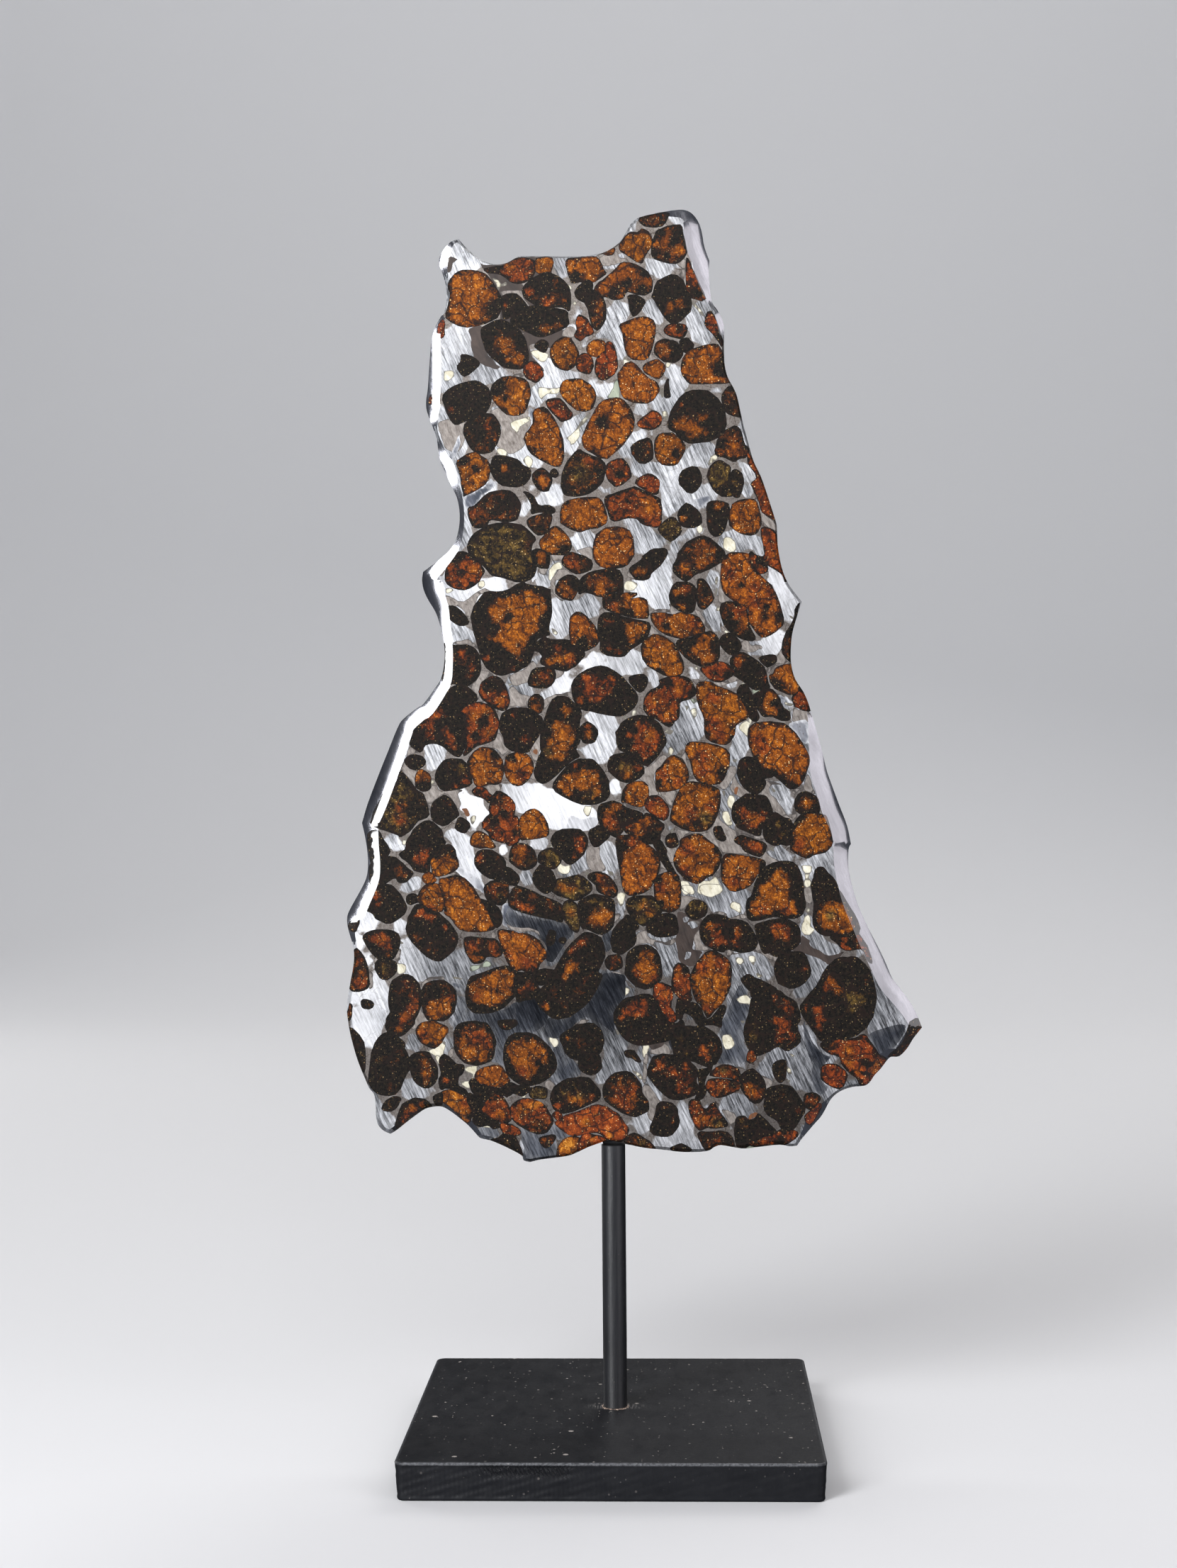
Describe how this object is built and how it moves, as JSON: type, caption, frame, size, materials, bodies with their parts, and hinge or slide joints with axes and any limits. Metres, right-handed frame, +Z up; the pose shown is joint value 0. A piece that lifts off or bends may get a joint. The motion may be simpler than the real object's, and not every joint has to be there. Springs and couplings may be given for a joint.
{
  "type": "pallasite meteorite slice on a rod stand",
  "caption": "Thin polished meteorite slice with an irregular outline and ground rim, held upright on a round rod that stands in a square base plate.",
  "frame": {"origin": "centre of the base plate's underside, on the surface it stands on", "axes": "+Z up along the rod, the slice's front face looks towards -Y, +X to the right seen from the front"},
  "size_m": [0.1442, 0.1, 0.3095],
  "materials": {
    "base_plate": "satin black paint with a fine orange-peel texture",
    "post": "satin black paint",
    "meteorite_slice": "polished nickel-iron with amber and black olivine crystals flush in it"
  },
  "bodies": {
    "root": {"base_plate": "base_plate", "post": "post", "meteorite_slice": "meteorite_slice"}
  },
  "joints": []
}
